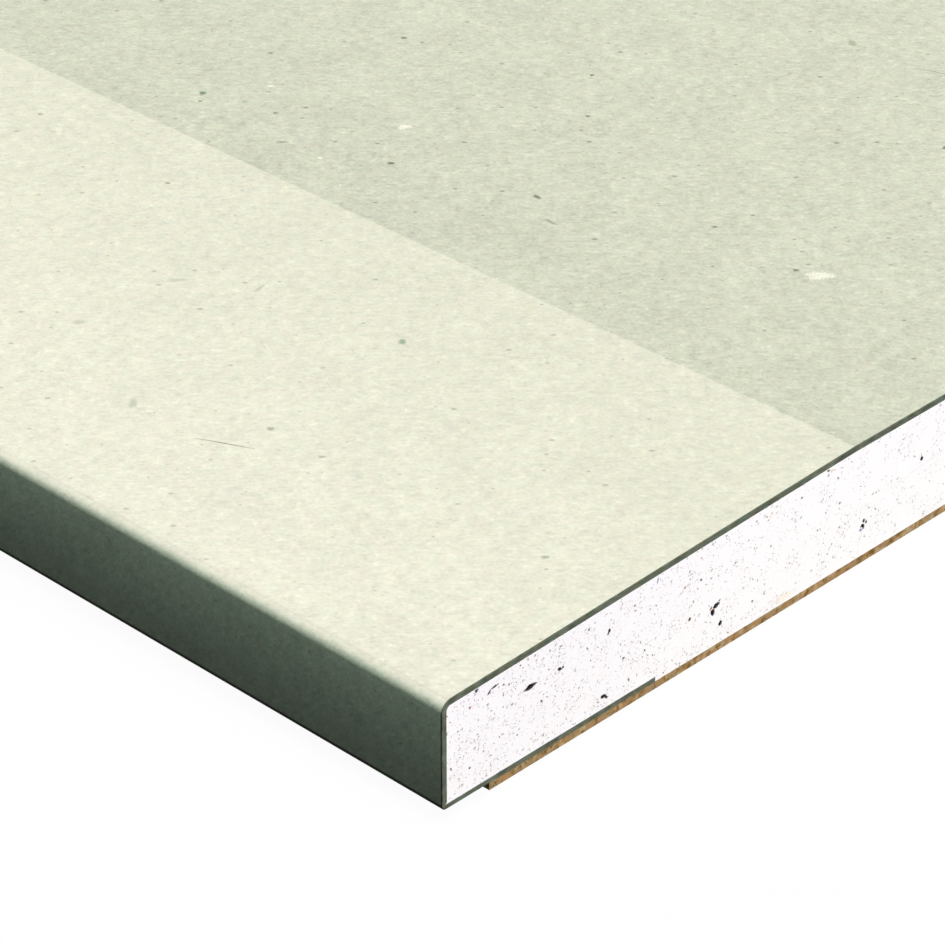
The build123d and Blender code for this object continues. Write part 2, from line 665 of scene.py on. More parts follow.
def wrap_outline(sizes):
    """The face paper's outer side from under one long edge to under the other: y, z and outward way."""
    edge = sizes.width / 2
    foot = sizes.back_paper
    slope = math.atan2(sizes.taper_depth, sizes.taper)
    shoulder = sizes.thickness - sizes.taper_depth
    centre = shoulder + sizes.shoulder * (math.tan(slope) - 1 / math.cos(slope))
    support = 0.25 * MM
    half = [(sizes.lap - edge, foot, 0.0, -1.0), (sizes.fold + support - edge, foot, 0.0, -1.0)]
    half += arc_points(sizes.fold - edge, foot + sizes.fold, sizes.fold, 270, 180, 12)
    half += [(-edge, foot + sizes.fold + support, -1.0, 0.0), (-edge, centre - support, -1.0, 0.0)]
    half += arc_points(sizes.shoulder - edge, centre, sizes.shoulder, 180, 90 + math.degrees(slope), 24)
    y, z, way_y, way_z = half[-1]
    half.append((y + support * math.cos(slope), z + support * math.sin(slope), way_y, way_z))
    half.append((sizes.taper - edge, sizes.thickness, -math.tan(slope / 2), 1.0))
    return half + [(-y, z, -way_y, way_z) for y, z, way_y, way_z in reversed(half)]


def inner_outline(sizes):
    """The face paper's inner side: full thickness over the front and sides, thinner in the lap."""
    points = []
    for y, z, way_y, way_z in wrap_outline(sizes):
        thick = sizes.side_paper + (sizes.face_paper - sizes.side_paper) * way_z
        if way_z < -1e-6:
            thick = sizes.lap_paper + (sizes.fold_paper - sizes.lap_paper) * (1 + way_z)
        points.append((y - way_y * thick, z - way_z * thick))
    return points


def running_lengths(points):
    """Distance along a line of points, counted from its middle."""
    lengths = [0.0]
    for first, second in zip(points, points[1:]):
        lengths.append(lengths[-1] + math.dist(first[:2], second[:2]))
    return [length - lengths[-1] / 2 for length in lengths]


def wrap_mesh(sizes):
    """The face paper as a closed skin round the tapers, long edges and laps."""
    outer = wrap_outline(sizes)
    lines = (outer, inner_outline(sizes))
    runs = running_lengths(outer)
    made = bmesh.new()
    run_map = made.loops.layers.uv.new("paper_run")
    run_of = {}
    rings = []
    for x in (-sizes.length / 2, sizes.length / 2):
        ring = [[made.verts.new((x, *point[:2])) for point in line] for line in lines]
        for vertices, depth in zip(ring, (0.0, sizes.face_paper)):
            run_of.update((vertex, (run, depth)) for vertex, run in zip(vertices, runs))
        rings.append(ring)
    (near_out, near_in), (far_out, far_in) = rings
    last = len(outer) - 1

    def side(*corners):
        face = made.faces.new(corners)
        face.smooth = True
        for loop in face.loops:
            loop[run_map].uv = (loop.vert.co.x, run_of[loop.vert][0])

    def cut(*corners):
        face = made.faces.new(corners)
        face.material_index = 1
        for loop in face.loops:
            loop[run_map].uv = run_of[loop.vert]

    for i in range(last):
        side(near_out[i], near_out[i + 1], far_out[i + 1], far_out[i])
        side(near_in[i], far_in[i], far_in[i + 1], near_in[i + 1])
        for outside, inside in rings:
            cut(outside[i], outside[i + 1], inside[i + 1], inside[i])
    for i in (0, last):
        cut(near_out[i], near_in[i], far_in[i], far_out[i])
    bmesh.ops.recalc_face_normals(made, faces=made.faces)
    corner_y = sizes.width / 2 - sizes.taper
    near = 0.1 * MM
    for edge in made.edges:
        middle = (edge.verts[0].co + edge.verts[1].co) / 2
        at_corner = abs(abs(middle.y) - corner_y) < near and abs(middle.x) < near
        at_cut = any(face.material_index == 1 for face in edge.link_faces)
        edge.smooth = not (at_corner or at_cut)
    return finished_mesh(made, "face_paper_wrap")


def core_outline(sizes):
    """The core's section: one paper inside the wrap, and down to the back paper between the laps."""
    lap_end = sizes.width / 2 - sizes.lap
    return [(-lap_end, sizes.back_paper)] + inner_outline(sizes) + [(lap_end, sizes.back_paper)]


def back_paper_outline(sizes):
    """The back paper's section, with soft corners, reaching a little below the solids' lowest plane."""
    edge = sizes.width / 2 - sizes.back_inset
    soft, low, high = 0.02 * MM, -0.10 * MM, sizes.back_paper
    outline = []
    for y, z, start in ((edge, low, 270), (edge, high, 0), (-edge, high, 90), (-edge, low, 180)):
        centre = (y - math.copysign(soft, y), z + (soft if z == low else -soft))
        outline += [point[:2] for point in arc_points(*centre, soft, start, start + 90, 3)]
    return outline


def extruded_mesh(name, outline, length):
    """A closed section of y and z run along the whole board."""
    made = bmesh.new()
    near, far = ([made.verts.new((x, y, z)) for y, z in outline] for x in (-length / 2, length / 2))
    for i in range(len(outline)):
        following = (i + 1) % len(outline)
        made.faces.new((near[i], near[following], far[following], far[i]))
    made.faces.new(near)
    made.faces.new(far)
    bmesh.ops.recalc_face_normals(made, faces=made.faces)
    return finished_mesh(made, name)


def geometry_recipe(name, inputs):
    """A Geometry Nodes tree with named inputs, its recipe and what the inputs give."""
    tree = bpy.data.node_groups.new(name, "GeometryNodeTree")
    tree.interface.new_socket("Geometry", in_out="OUTPUT", socket_type="NodeSocketGeometry")
    for label, kind in {"Geometry": "Geometry", "Material": "Material", "Seed": "Int", **inputs}.items():
        tree.interface.new_socket(label, in_out="INPUT", socket_type="NodeSocket" + kind)
    recipe = Recipe(tree)
    sockets = recipe.add("NodeGroupInput").outputs
    return recipe, {socket.name: Value(recipe, socket) for socket in sockets}


def made_by_nodes(field, tree, values):
    """Runs a Geometry Nodes tree on a field mesh and returns the result as a plain mesh."""
    carrier = bpy.data.objects.new(tree.name + "_field", field)
    bpy.context.scene.collection.objects.link(carrier)
    modifier = carrier.modifiers.new("Scatter", "NODES")
    modifier.node_group = tree
    for item in tree.interface.items_tree:
        if item.in_out == "INPUT" and item.name in values:
            modifier[item.identifier] = values[item.name]
    bpy.context.view_layer.update()
    evaluated = carrier.evaluated_get(bpy.context.evaluated_depsgraph_get())
    mesh = bpy.data.meshes.new_from_object(evaluated)
    carrier.modifiers.remove(modifier)
    bpy.data.objects.remove(carrier)
    bpy.data.meshes.remove(field)
    return mesh


def random_value(recipe, low, high, seed):
    """A random number for each point."""
    inputs = {2: low, 3: high, "Seed": seed}
    return recipe.value("FunctionNodeRandomValue", inputs, 1, data_type="FLOAT")


def skewed_value(recipe, low, high, seed, power=2.5):
    """A random number for each point, more often low than high."""
    draw = recipe.maths("POWER", random_value(recipe, 0.0, 1.0, seed), power)
    return draw * (high - low) + low


def outside_corner(recipe, given, points):
    """The points that aren't in the near corner, which holds only placed marks."""
    x, y, _ = recipe.value("GeometryNodeInputPosition").split()
    clear_x, clear_y, _ = given["Clear from"].split()
    inputs = {"Geometry": points, "Selection": (x > clear_x) * (y < clear_y)}
    return recipe.value("GeometryNodeDeleteGeometry", inputs, domain="POINT")


def real_copies(recipe, points, shape, rotation, scale):
    """A copy of a shape on each point, as real geometry."""
    inputs = {"Points": points, "Instance": shape, "Rotation": rotation, "Scale": scale}
    copies = recipe.value("GeometryNodeInstanceOnPoints", inputs)
    return recipe.value("GeometryNodeRealizeInstances", {0: copies})


def finish_tree(recipe, given, geometry):
    """Ends a tree with its geometry in the material that it is given."""
    inputs = {"Geometry": geometry, "Material": given["Material"]}
    recipe.add("NodeGroupOutput", {0: recipe.value("GeometryNodeSetMaterial", inputs)})
    return recipe.tree


def marks_tree():
    """Scatters small flat marks over a surface, each turned, sized and coloured by its own draws."""
    inputs = {name: "Float" for name in ("Density", "Smallest", "Largest", "Slimmest")}
    inputs.update({"Shape": "Object", "Clear from": "Vector"})
    inputs.update({"First colour": "Color", "Second colour": "Color"})
    recipe, given = geometry_recipe("scattered_marks", inputs)
    spread = {"Mesh": given["Geometry"], "Density": given["Density"], "Seed": given["Seed"]}
    scatter = recipe.add("GeometryNodeDistributePointsOnFaces", spread)
    points, rotation = (Value(recipe, scatter.outputs[name]) for name in ("Points", "Rotation"))
    colour = random_value(recipe, 0.0, 1.0, 11).mix(given["First colour"], given["Second colour"])
    painted = recipe.value(
        "GeometryNodeStoreNamedAttribute",
        {"Geometry": outside_corner(recipe, given, points), "Name": "mark_colour", "Value": colour},
        data_type="FLOAT_COLOR",
        domain="POINT",
    )
    length = skewed_value(recipe, given["Smallest"], given["Largest"], 12)
    breadth = length * random_value(recipe, given["Slimmest"], 1.0, 13)
    spin = recipe.joined(0.0, 0.0, random_value(recipe, 0.0, 2 * math.pi, 14))
    spun = recipe.value("FunctionNodeEulerToRotation", {0: spin})
    turned = recipe.value("FunctionNodeRotateRotation", {0: rotation, 1: spun}, rotation_space="LOCAL")
    shape = recipe.value("GeometryNodeObjectInfo", {"Object": given["Shape"]}, "Geometry")
    scale = recipe.joined(length, breadth, 1.0)
    return finish_tree(recipe, given, real_copies(recipe, painted, shape, turned, scale))


def voids_tree():
    """Scatters uneven blobs over the core's cut ends, to be cut out of it."""
    inputs = {name: "Float" for name in ("Spacing", "Smallest", "Largest")}
    recipe, given = geometry_recipe("scattered_voids", {**inputs, "Clear from": "Vector"})
    spread = {"Mesh": given["Geometry"], "Distance Min": given["Spacing"], "Density Max": 120000.0}
    points = recipe.value(
        "GeometryNodeDistributePointsOnFaces",
        {**spread, "Seed": given["Seed"]},
        "Points",
        distribute_method="POISSON",
    )
    length = skewed_value(recipe, given["Smallest"], given["Largest"], 21, 3.0)
    height = recipe.maths("POWER", length, 0.5) * random_value(recipe, 0.008, 0.014, 22)
    depth = height * random_value(recipe, 0.7, 1.1, 23)
    tilt = recipe.joined(random_value(recipe, -0.5, 0.5, 24), 0.0, 0.0)
    turned = recipe.value("FunctionNodeEulerToRotation", {0: tilt})
    ball = recipe.value("GeometryNodeMeshIcoSphere", {"Radius": 0.5, "Subdivisions": 2})
    scale = recipe.joined(depth, length, height)
    kept = outside_corner(recipe, given, points)
    blobs = real_copies(recipe, kept, ball, turned, scale)
    where = recipe.value("GeometryNodeInputPosition")
    offset = where.wobble(0.25 * MM, 1.0, dimensions="3D") * (0.12 * MM, 0.3 * MM, 0.22 * MM)
    uneven = recipe.value("GeometryNodeSetPosition", {"Geometry": blobs, "Offset": offset})
    return finish_tree(recipe, given, uneven)


def lens_mesh(name, sides, proud, sunk):
    """A flat closed lens one metre across, to be scaled; its mark is strongest in the middle."""
    made = bmesh.new()
    strength = made.verts.layers.float.new("mark_strength")
    rim = []
    for i in range(sides):
        angle = 2 * math.pi * i / sides
        reach = 0.5 * (1 + 0.12 * math.sin(2.3 * i) + 0.08 * math.cos(4.1 * i))
        rim.append(made.verts.new((reach * math.cos(angle), reach * math.sin(angle), -0.1 * proud)))
    top = made.verts.new((0.0, 0.0, proud))
    bottom = made.verts.new((0.0, 0.0, -sunk))
    top[strength] = 1.0
    for i in range(sides):
        made.faces.new((rim[i], rim[(i + 1) % sides], top))
        made.faces.new((rim[(i + 1) % sides], rim[i], bottom))
    return finished_mesh(made, name)


def hair_mesh(name, thickness, bend):
    """A bent fibre one metre long, to be scaled in its plane only across its length."""
    made = bmesh.new()
    rings = []
    steps, sides, half_height = 8, 4, 0.006 * MM
    for i in range(steps + 1):
        share = i / steps
        x = share - 0.5
        y = bend * (1 - 4 * x * x)
        slim = thickness * (0.25 + 0.75 * math.sin(math.pi * min(max(share, 0.06), 0.94)))
        angles = [2 * math.pi * j / sides for j in range(sides)]
        places = [(x, y + slim / 2 * math.cos(angle), half_height * math.sin(angle)) for angle in angles]
        rings.append([made.verts.new(place) for place in places])
    for first, second in zip(rings, rings[1:]):
        for j in range(sides):
            made.faces.new((first[j], second[j], second[(j + 1) % sides], first[(j + 1) % sides]))
    made.faces.new(rings[0])
    made.faces.new(rings[-1])
    bmesh.ops.recalc_face_normals(made, faces=made.faces)
    return finished_mesh(made, name)


def face_field(sizes, inset):
    """The front of the board as three flat strips, for scattering on."""
    edge = sizes.width / 2
    start = sizes.thickness - sizes.taper_depth + inset * sizes.taper_depth / sizes.taper
    half = [(inset - edge, start), (sizes.taper - edge, sizes.thickness)]
    line = half + [(-y, z) for y, z in reversed(half)]
    reach = sizes.length / 2 - inset
    vertices = [(x, y, z) for x in (-reach, reach) for y, z in line]
    mesh = bpy.data.meshes.new("face_field")
    mesh.from_pydata(vertices, [], [(i, i + 4, i + 5, i + 1) for i in range(3)])
    return mesh


def end_field(sizes, inset):
    """The two cut ends of the core as flat strips, for scattering on."""
    reach = sizes.width / 2 - inset
    low = sizes.back_paper + sizes.face_paper + inset / 2
    high = sizes.thickness - sizes.taper_depth - sizes.face_paper - inset / 2
    vertices = []
    for x in (-sizes.length / 2, sizes.length / 2):
        vertices += [(x, -reach, low), (x, reach, low), (x, reach, high), (x, -reach, high)]
    mesh = bpy.data.meshes.new("end_field")
    mesh.from_pydata(vertices, [], [(3, 2, 1, 0), (4, 5, 6, 7)])
    return mesh


# Voids by the near corner of the cut end: millimetres in from the long edge, height above the floor,
# length, height and depth of the hole, tilt in degrees, and how far it draws to points (below 0) or
# parts into two lobes (above 0).
CORNER_VOIDS = (
    (10.05, 7.58, 1.85, 0.56, 0.26, 2, -0.9),
    (6.02, 9.64, 0.95, 0.25, 0.24, 9, -0.5),
    (5.38, 9.40, 0.56, 0.22, 0.20, 44, -0.4),
    (13.48, 7.60, 0.56, 0.34, 0.26, -24, 0.0),
    (13.86, 7.62, 0.26, 0.26, 0.2, -10, -0.2),
    (19.3, 8.48, 0.30, 0.46, 0.34, -12, 0.1),
    (19.16, 8.22, 0.22, 0.22, 0.2, 0, 0.0),
    (18.75, 2.32, 0.60, 0.44, 0.35, -10, 0.2),
    (19.1, 2.08, 0.40, 0.26, 0.25, -40, 0.0),
    (32.55, 4.62, 0.88, 0.50, 0.3, 22, 0.05),
    (32.12, 4.12, 0.50, 0.74, 0.3, 10, 0.0),
    (33.15, 2.56, 0.48, 0.48, 0.3, 0, 0.0),
    (51.74, 3.62, 0.56, 0.72, 0.36, 12, 0.0),
    (51.88, 4.18, 0.30, 0.42, 0.3, -6, 0.0),
    (52.22, 3.94, 0.26, 0.36, 0.25, 0, 0.0),
    (59.6, 7.1, 0.42, 0.42, 0.34, 0, 0.0),
)

# The rows that are cut together: voids that run into each other are cut one after another.
VOID_ROUNDS = ((0, 1, 3, 5, 7, 9, 11, 12, 15), (2, 4, 6, 8, 10, 13), (14,))


def blob(made, centre, size, tilt, parting, seed):
    """Adds one ragged closed blob to a mesh under construction."""
    turn = Matrix.Rotation(math.radians(tilt), 3, "X")
    ball = bmesh.ops.create_icosphere(made, subdivisions=3, radius=0.5)
    place = Vector((seed * 3.7, 0, 0))
    for vertex in ball["verts"]:
        way = vertex.co.normalized()
        lobes = 1 + max(parting, 0.0) * (2 * way.y * way.y - 1)
        slim = 1 + min(parting, 0.0) * abs(way.y) ** 1.5
        rough = 1 + 0.35 * noise.noise(way * 2.3 + place) + 0.30 * noise.noise(way * 5.1 + place)
        x, y, z = vertex.co * lobes * rough
        vertex.co = Vector(centre) + turn @ Vector((x * size[0] * slim, y * size[1], z * size[2] * slim))


def corner_voids_mesh(sizes, rows):
    """The blobs for the placed voids, the rows that are asked for."""
    made = bmesh.new()
    for number, (inward, up, length, height, depth, tilt, parting) in enumerate(CORNER_VOIDS):
        if number in rows:
            centre = (sizes.length / 2, inward * MM - sizes.width / 2, up * MM)
            blob(made, centre, (depth * MM, length * MM, height * MM), tilt, parting, number)
    return finished_mesh(made, "corner_voids")


def cut_out(piece, cutter):
    """Cuts one mesh out of a piece, keeping the cutter's faces as its second material."""
    materials = list(piece.data.materials)
    cutter.materials.clear()
    for material in materials:
        cutter.materials.append(material)
    for polygon in cutter.polygons:
        polygon.material_index = 1
    tool = bpy.data.objects.new("void_cutter", cutter)
    bpy.context.scene.collection.objects.link(tool)
    modifier = piece.modifiers.new("Voids", "BOOLEAN")
    modifier.operation = "DIFFERENCE"
    modifier.solver = "MANIFOLD"
    modifier.object = tool
    bpy.context.view_layer.update()
    evaluated = piece.evaluated_get(bpy.context.evaluated_depsgraph_get())
    mesh = bpy.data.meshes.new_from_object(evaluated)
    piece.modifiers.remove(modifier)
    old = piece.data
    piece.data = mesh
    for number, material in enumerate(materials):
        mesh.materials[number] = material
    bpy.data.objects.remove(tool)
    for used in (old, cutter):
        bpy.data.meshes.remove(used)


def round_the_voids(piece):
    """Smooths the voids' walls and keeps their rims and the cut ends crisp."""
    made = bmesh.new()
    made.from_mesh(piece.data)
    for face in made.faces:
        face.smooth = face.material_index == 1
    for edge in made.edges:
        edge.smooth = len({face.material_index for face in edge.link_faces}) == 1
    made.to_mesh(piece.data)
    made.free()


# Marks by the near corner: millimetres in from the long edge, millimetres in from the cut end,
# length, breadth, turn in degrees from the cut end's direction, and colour.
SEA_GREEN = tint(164, 184, 160)
TEAL = tint(132, 154, 126)
DEEP_GREEN = tint(138, 144, 119)
GREY_GREEN = tint(158, 162, 138)
SOFT_GREEN = tint(184, 188, 164)
SMUDGE = tint(214, 217, 196)
PALE_CREAM = tint(248, 248, 228)
CORNER_FLECKS = (
    (36.4, 40.7, 0.95, 0.72, 44, SEA_GREEN),
    (18.5, 38.8, 0.75, 0.6, -46, SOFT_GREEN),
    (57.4, 90.0, 0.75, 0.9, -46, TEAL),
    (56.0, 88.8, 0.42, 0.4, -46, GREY_GREEN),
    (59.7, 65.6, 0.8, 0.6, -46, DEEP_GREEN),
    (80.5, 84.7, 0.65, 0.55, -46, DEEP_GREEN),
    (42.2, 78.3, 0.6, 0.5, -46, SOFT_GREEN),
    (43.3, 98.3, 0.6, 0.45, -46, SOFT_GREEN),
    (87.5, 64.9, 0.5, 0.5, -46, DEEP_GREEN),
    (80.4, 58.9, 0.5, 0.45, -46, DEEP_GREEN),
    (64.4, 50.7, 1.05, 0.55, -95, DEEP_GREEN),
    (61.6, 46.3, 1.7, 0.42, -95, tint(174, 178, 155)),
    (70.4, 23.7, 0.55, 0.45, -46, DEEP_GREEN),
    (71.6, 34.6, 0.6, 0.4, -60, DEEP_GREEN),
    (111.6, 50.9, 1.6, 0.9, 50, tint(186, 190, 166)),
    (99.5, 29.3, 0.8, 0.6, 30, DEEP_GREEN),
    (13.3, 50.7, 1.8, 0.8, 44, tint(210, 213, 191)),
    (30.3, 63.8, 2.0, 0.7, -46, SMUDGE),
    (19.3, 64.7, 1.3, 0.9, -46, SMUDGE),
    (18.4, 32.3, 0.8, 0.4, -46, tint(196, 198, 176)),
    (59.4, 81.5, 0.55, 0.5, -46, GREY_GREEN),
    (55.5, 76.4, 1.1, 0.6, -46, tint(176, 182, 156)),
    (34.4, 57.1, 1.5, 0.4, 10, tint(208, 211, 188)),
    (31.4, 29.4, 0.6, 0.5, -46, tint(200, 202, 178)),
    (20.1, 7.9, 0.7, 0.55, -46, tint(190, 194, 170)),
    (71.05, 21.5, 2.6, 1.6, -46, PALE_CREAM),
    (66.1, 70.2, 1.25, 1.1, -46, PALE_CREAM),
    (63.2, 86.3, 0.8, 0.55, -46, PALE_CREAM),
    (62.2, 85.5, 0.8, 0.3, -60, SOFT_GREEN),
    (55.7, 71.3, 0.6, 0.4, -46, PALE_CREAM),
)

# Hairs by the near corner: both ends as millimetres in from the long edge and from the cut end,
# bend as a share of the length, thickness in millimetres and colour.
CORNER_HAIRS = (
    ((13.1, 42.5), (15.4, 37.4), 0.006, 0.11, tint(146, 144, 124)),
    ((40.4, 33.0), (42.5, 29.8), -0.06, 0.05, tint(186, 188, 168)),
    ((111.4, 42.4), (112.6, 38.6), 0.05, 0.06, tint(118, 120, 110)),
)

# Grains by the near corner of the cut end: millimetres in from the long edge, height above the
# floor, length, height, tilt in degrees and colour.
RUSTY = tint(164, 92, 66)
BLUISH = tint(44, 42, 60)
SMOKY = tint(52, 48, 52)
ASHEN = tint(136, 130, 132)
CORNER_GRAINS = (
    (3.94, 10.27, 0.56, 0.38, 6, BLUISH),
    (3.78, 10.0, 0.42, 0.36, 60, tint(204, 198, 228)),
    (3.2, 9.0, 0.36, 0.34, 0, RUSTY),
    (5.2, 8.3, 0.36, 0.26, 0, ASHEN),
    (7.63, 9.03, 0.24, 0.2, 0, SMOKY),
    (8.9, 10.2, 0.26, 0.2, 0, SMOKY),
    (12.3, 9.95, 0.28, 0.24, 0, SMOKY),
    (12.2, 8.2, 0.22, 0.18, 0, SMOKY),
    (16.85, 9.75, 0.32, 0.28, 0, SMOKY),
    (11.38, 5.55, 0.34, 0.3, -20, SMOKY),
    (8.0, 6.95, 0.32, 0.24, 0, ASHEN),
    (6.9, 4.6, 0.5, 0.3, -30, tint(206, 192, 182)),
    (3.17, 3.25, 0.28, 0.22, -15, SMOKY),
    (8.6, 3.67, 0.26, 0.2, 0, SMOKY),
    (22.33, 9.47, 0.24, 0.22, 0, SMOKY),
    (22.4, 8.95, 0.3, 0.24, 0, tint(150, 124, 128)),
    (25.08, 10.66, 0.6, 0.26, 85, tint(150, 150, 182)),
    (28.5, 8.28, 0.36, 0.3, 20, tint(152, 112, 88)),
    (28.1, 7.98, 1.1, 0.26, 30, tint(220, 216, 215)),
    (28.9, 8.35, 0.36, 0.36, 0, tint(228, 208, 202)),
    (30.47, 8.12, 0.36, 0.3, 0, SMOKY),
    (34.87, 7.78, 0.28, 0.24, -20, tint(92, 92, 76)),
    (29.2, 4.83, 0.46, 0.44, -20, tint(78, 34, 20)),
    (21.08, 4.95, 0.4, 0.26, -20, SMOKY),
    (23.7, 4.45, 0.28, 0.24, 0, SMOKY),
    (24.67, 3.5, 0.2, 0.18, 0, SMOKY),
    (21.77, 2.53, 0.28, 0.24, 0, SMOKY),
    (26.1, 1.02, 0.34, 0.2, -20, tint(176, 112, 104)),
    (31.83, 11.0, 0.28, 0.22, 0, tint(150, 148, 122)),
    (33.53, 11.02, 0.26, 0.22, 0, SMOKY),
    (31.9, 4.62, 0.5, 0.34, 60, tint(166, 118, 84)),
    (32.95, 4.95, 0.32, 0.28, 20, tint(120, 72, 92)),
    (51.5, 3.4, 0.46, 0.46, 20, tint(136, 136, 190)),
    (39.15, 10.35, 0.5, 0.44, 20, tint(246, 238, 220)),
    (39.3, 10.6, 0.3, 0.22, 40, tint(176, 170, 150)),
    (38.9, 10.1, 0.26, 0.2, 30, ASHEN),
    (43.2, 10.4, 0.32, 0.28, 0, SMOKY),
    (46.6, 11.55, 0.5, 0.26, 0, tint(44, 40, 30)),
    (47.05, 11.35, 0.5, 0.4, 0, tint(232, 216, 194)),
    (37.5, 8.0, 0.45, 0.3, 30, tint(222, 216, 196)),
    (39.38, 7.33, 0.26, 0.22, 0, SMOKY),
    (48.4, 7.55, 0.3, 0.28, 0, SMOKY),
    (45.55, 6.08, 0.24, 0.2, 0, SMOKY),
    (48.5, 5.05, 0.28, 0.24, 0, SMOKY),
    (48.3, 4.7, 0.3, 0.5, -30, tint(240, 224, 220)),
    (37.25, 2.8, 0.32, 0.3, 0, tint(92, 78, 60)),
    (46.37, 2.45, 0.22, 0.18, 0, SMOKY),
    (45.88, 3.5, 0.2, 0.18, 0, SMOKY),
    (41.5, 1.24, 2.6, 0.76, 0, tint(254, 243, 228)),
    (41.15, 1.62, 0.9, 0.15, 32, tint(208, 194, 180)),
    (40.7, 1.3, 0.34, 0.16, 50, tint(206, 176, 148)),
    (41.7, 1.5, 0.26, 0.16, 20, tint(216, 184, 160)),
    (53.4, 6.4, 0.28, 0.24, 0, tint(196, 140, 124)),
)

# A placed mark's shape is this much larger than the mark, which fades out before its rim.
FLECK_FADE = 1.4
GRAIN_FADE = 1.2

# How far from the near corner there are only placed marks, voids and grains.
PLACED_MARKS_REACH = 130 * MM
PLACED_VOIDS_REACH = 72 * MM
PLACED_GRAINS_REACH = 60 * MM


def clear_corner(sizes, reach):
    """The near corner of the front, for the marks: x above the first number, y below the second."""
    return (sizes.length / 2 - reach, reach - sizes.width / 2, 0.0)


def clear_end(sizes, reach):
    """The near stretch of the cut end, for the voids and grains, in the same two numbers."""
    return (0.0, reach - sizes.width / 2, 0.0)


def face_place(sizes, inward, along):
    """The place on the front at these millimetres from the near corner, with the turn of its slope."""
    rise = sizes.taper_depth / sizes.taper
    y = inward * MM - sizes.width / 2
    z = sizes.thickness - max(sizes.taper - inward * MM, 0.0) * rise
    slope = math.atan(rise) if inward * MM < sizes.taper else 0.0
    place = Matrix.Translation((sizes.length / 2 - along * MM, y, z))
    return place @ Matrix.Rotation(slope, 4, "X")


def end_place(sizes, inward, up):
    """The place on the near cut end at these millimetres from the long edge and above the floor."""
    place = Matrix.Translation((sizes.length / 2, inward * MM - sizes.width / 2, up * MM))
    return place @ Matrix.Rotation(math.pi / 2, 4, "Z") @ Matrix.Rotation(math.pi / 2, 4, "X")


def laid(place, turn, length, breadth):
    """A place with a turn in its plane, in radians, and a mark's size in millimetres."""
    size = Matrix.Diagonal((length * MM, breadth * MM, 1.0, 1.0))
    return place @ Matrix.Rotation(turn, 4, "Z") @ size


def scattered_marks(field, shape, material, density, lengths, slimmest, colours, clear, seed):
    """Runs the mark tree on a field with one shape and a range of lengths in millimetres."""
    carrier = bpy.data.objects.new("mark_shape", shape)
    values = {
        "Shape": carrier,
        "Material": material,
        "Density": density,
        "Smallest": lengths[0] * MM,
        "Largest": lengths[1] * MM,
        "Slimmest": slimmest,
        "First colour": (*colours[0], 1.0),
        "Second colour": (*colours[1], 1.0),
        "Clear from": clear,
        "Seed": seed,
    }
    tree = bpy.data.node_groups.get("scattered_marks") or marks_tree()
    mesh = made_by_nodes(field, tree, values)
    bpy.data.objects.remove(carrier)
    return mesh


def with_placed(scattered, placed, material):
    """Scattered marks and placed copies of small meshes, each in its own colour, as one mesh."""
    made = bmesh.new()
    made.from_mesh(scattered)
    paint = made.verts.layers.float_color["mark_colour"]
    for shape, matrix, colour in placed:
        before = len(made.verts)
        copy = shape.copy()
        copy.transform(matrix)
        made.from_mesh(copy)
        bpy.data.meshes.remove(copy)
        made.verts.ensure_lookup_table()
        for vertex in made.verts[before:]:
            vertex[paint] = (*colour, 1.0)
    for face in made.faces:
        face.material_index = 0
    bpy.data.meshes.remove(scattered)
    mesh = finished_mesh(made, "marks")
    mesh.materials.append(material)
    return mesh


class DRYWALL_OT_face_paper(bpy.types.Operator):
    """Make the face paper that covers the front and wraps the long edges"""

    bl_idname = "drywall.face_paper"
    bl_label = "Face paper"

    def execute(self, context):
        sizes, finish = context.scene.drywall_sizes, context.scene.drywall_face
        mesh = wrap_mesh(sizes)
        mesh.materials.append(face_paper_material(sizes, finish))
        mesh.materials.append(cut_paper_material(sizes, finish))
        piece = new_piece("face_paper_wrap", mesh)
        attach(piece, "root")
        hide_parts("face_paper")
        return {"FINISHED"}


class DRYWALL_OT_gypsum_core(bpy.types.Operator):
    """Make the gypsum core with the air voids that its cut ends open"""

    bl_idname = "drywall.gypsum_core"
    bl_label = "Gypsum core"

    def execute(self, context):
        sizes, finish = context.scene.drywall_sizes, context.scene.drywall_core
        mesh = extruded_mesh("gypsum_core_cut", core_outline(sizes), sizes.length)
        plaster, hollow = plaster_material(sizes, finish), void_shade_material(sizes, finish)
        mesh.materials.append(plaster)
        mesh.materials.append(hollow)
        piece = new_piece("gypsum_core_cut", mesh)
        values = {
            "Material": hollow,
            "Spacing": finish.void_spacing,
            "Smallest": finish.void_smallest,
            "Largest": finish.void_largest,
            "Clear from": clear_end(sizes, PLACED_VOIDS_REACH),
            "Seed": 7,
        }
        cut_out(piece, made_by_nodes(end_field(sizes, 1.2 * MM), voids_tree(), values))
        for rows in VOID_ROUNDS:
            cut_out(piece, corner_voids_mesh(sizes, rows))
        round_the_voids(piece)
        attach(piece, "root")
        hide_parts("gypsum_core")
        return {"FINISHED"}


class DRYWALL_OT_back_paper(bpy.types.Operator):
    """Make the flat brown back paper"""

    bl_idname = "drywall.back_paper"
    bl_label = "Back paper"

    def execute(self, context):
        sizes, finish = context.scene.drywall_sizes, context.scene.drywall_back
        mesh = extruded_mesh("back_paper_strip", back_paper_outline(sizes), sizes.length)
        mesh.materials.append(back_paper_material(sizes, finish))
        piece = new_piece("back_paper_strip", mesh)
        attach(piece, "root")
        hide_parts("back_paper")
        return {"FINISHED"}


